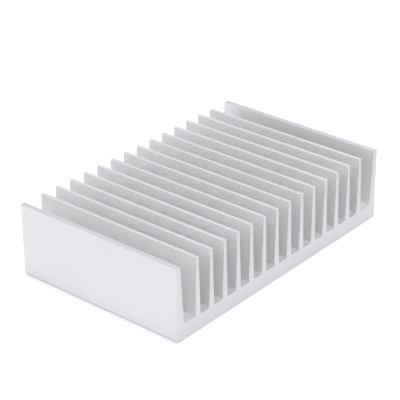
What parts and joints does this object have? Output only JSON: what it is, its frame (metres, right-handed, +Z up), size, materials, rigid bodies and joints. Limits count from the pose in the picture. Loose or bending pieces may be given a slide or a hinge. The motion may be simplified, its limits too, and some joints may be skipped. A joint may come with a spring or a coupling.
{
  "type": "extruded heat sink",
  "caption": "Comb-section aluminium heat sink cut from an extrusion: flat slab with tapered, finely ridged upright fins between two thicker smooth outer fins.",
  "frame": {"origin": "centre of the flat mounting face, at the bottom of the part", "axes": "+X across the fins, +Y along the extrusion and its channels, +Z up from the mounting face to the fin tips"},
  "size_m": [0.16, 0.1, 0.0395],
  "materials": {
    "extruded_aluminium": "bare extruded aluminium, satin, with saw-cut end faces"
  },
  "bodies": {
    "root": {"heat_sink": "extruded_aluminium"}
  },
  "joints": []
}
